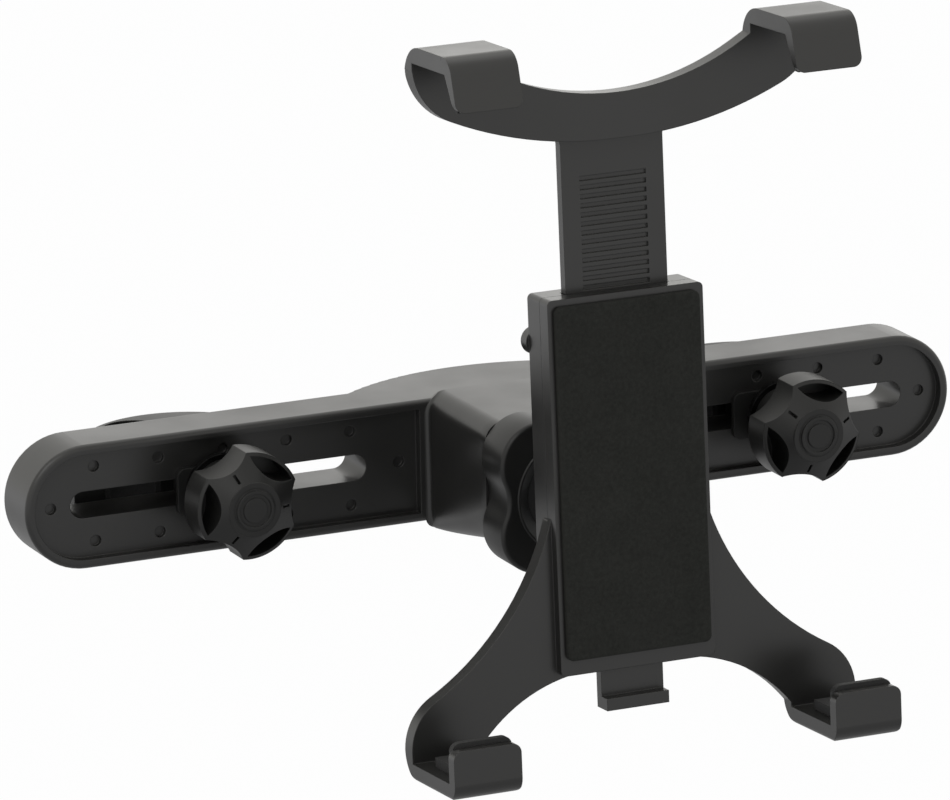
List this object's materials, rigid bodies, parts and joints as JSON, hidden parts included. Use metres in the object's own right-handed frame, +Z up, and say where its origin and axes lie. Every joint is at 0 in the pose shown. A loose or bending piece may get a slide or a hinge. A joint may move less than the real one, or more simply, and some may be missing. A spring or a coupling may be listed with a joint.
{
  "type": "headrest tablet mount",
  "caption": "Car headrest tablet mount: a slotted cross bar with post clamps, a ball joint with a ring nut and a sprung cradle whose claws hold a tablet.",
  "frame": {"origin": "middle of the cross bar's post side, level with the slots and the ball", "axes": "+X along the bar to the right as seen from the tablet's side, +Z up along the headrest posts, -Y towards the tablet"},
  "size_m": [0.25, 0.1357, 0.1778],
  "materials": {
    "black_plastic": "satin moulded",
    "black_rubber": "matt",
    "foam": "matt cellular foam",
    "steel": "zinc plated"
  },
  "bodies": {
    "frame": {"cross_bar": "black_plastic", "socket_collet": "black_plastic"},
    "nut": {"ring_nut": "black_plastic"},
    "seat": {"ball_seat": "black_rubber"},
    "stud": {"ball_stud": "steel", "stud_washer": "steel", "stud_screw": "steel"},
    "cradle": {"rear_shell": "black_plastic", "front_shell": "black_plastic", "shell_screws": "steel", "foam_pad": "foam", "lower_lip_pads": "black_rubber", "tab_spring": "steel"},
    "arm": {"upper_claw": "black_plastic", "upper_lip_pads": "black_rubber"},
    "tab": {"release_tab": "black_plastic"},
    "catch": {"pawl": "black_plastic"},
    "left_carriage": {"left_slider": "black_plastic"},
    "left_clamp": {"left_bolt": "steel", "left_jaw": "black_plastic", "left_lining": "black_rubber"},
    "left_ring": {"left_washer": "steel"},
    "left_grip": {"left_knob": "black_plastic", "left_insert": "steel", "left_cap": "black_plastic"},
    "right_carriage": {"right_slider": "black_plastic"},
    "right_clamp": {"right_bolt": "steel", "right_jaw": "black_plastic", "right_lining": "black_rubber"},
    "right_ring": {"right_washer": "steel"},
    "right_grip": {"right_knob": "black_plastic", "right_insert": "steel", "right_cap": "black_plastic"}
  },
  "joints": [
    {"name": "nut_turn", "type": "hinge", "parent": "frame", "child": "nut", "pos_m": [0, -0.0537, 0], "axis": [0, -1, 0], "range_deg": [-90, 30]},
    {"name": "seat_turn", "type": "hinge", "parent": "frame", "child": "seat", "pos_m": [0, -0.05, 0], "axis": [0, -1, 0], "range_deg": [-180, 180]},
    {"name": "ball_tilt", "type": "hinge", "parent": "seat", "child": "stud", "pos_m": [0, -0.05, 0], "axis": [1, 0, 0], "range_deg": [-14.5, 21]},
    {"name": "cradle_turn", "type": "hinge", "parent": "stud", "child": "cradle", "pos_m": [0, -0.07846, 0.00159], "axis": [0, -0.9984, 0.0558], "range_deg": [-90, 90]},
    {"name": "arm_slide", "type": "slide", "parent": "cradle", "child": "arm", "axis": [0, 0.0558, 0.9984], "range_m": [-0.0352, 0.0242]},
    {"name": "tab_push", "type": "slide", "parent": "cradle", "child": "tab", "axis": [0, 0.0558, 0.9984], "range_m": [0, 0.004], "stiffness_N_per_m": 600, "springref_m": -0.002, "deforming": ["tab_spring"]},
    {"name": "pawl_draw", "type": "slide", "parent": "cradle", "child": "catch", "axis": [0, -0.9984, 0.0558], "range_m": [0, 0.0008]},
    {"name": "left_travel", "type": "slide", "parent": "frame", "child": "left_carriage", "axis": [1, 0, 0], "range_m": [-0.0295, 0.023]},
    {"name": "left_draw", "type": "slide", "parent": "left_carriage", "child": "left_clamp", "axis": [0, 1, 0], "range_m": [-0.0058, 0]},
    {"name": "left_advance", "type": "slide", "parent": "left_clamp", "child": "left_ring", "axis": [0, 1, 0], "range_m": [-0.004, 0]},
    {"name": "left_turn", "type": "hinge", "parent": "left_ring", "child": "left_grip", "pos_m": [-0.074, -0.0264, 0], "axis": [0, 1, 0], "range_deg": [-1441, 1]},
    {"name": "right_travel", "type": "slide", "parent": "frame", "child": "right_carriage", "axis": [1, 0, 0], "range_m": [-0.0115, 0.0272]},
    {"name": "right_draw", "type": "slide", "parent": "right_carriage", "child": "right_clamp", "axis": [0, 1, 0], "range_m": [-0.0025, 0.0016]},
    {"name": "right_advance", "type": "slide", "parent": "right_clamp", "child": "right_ring", "axis": [0, 1, 0], "range_m": [-0.004, 0.0016]},
    {"name": "right_turn", "type": "hinge", "parent": "right_ring", "child": "right_grip", "pos_m": [0.0762, -0.0297, 0], "axis": [0, 1, 0], "range_deg": [-1441, 577]}
  ],
  "couplings": [
    {"joint": "pawl_draw", "follows": "tab_push", "ratio": 0.2},
    {"joint": "left_turn", "follows": "left_advance", "rad_per_m": 6283.2},
    {"joint": "right_turn", "follows": "right_advance", "rad_per_m": 6283.2}
  ]
}
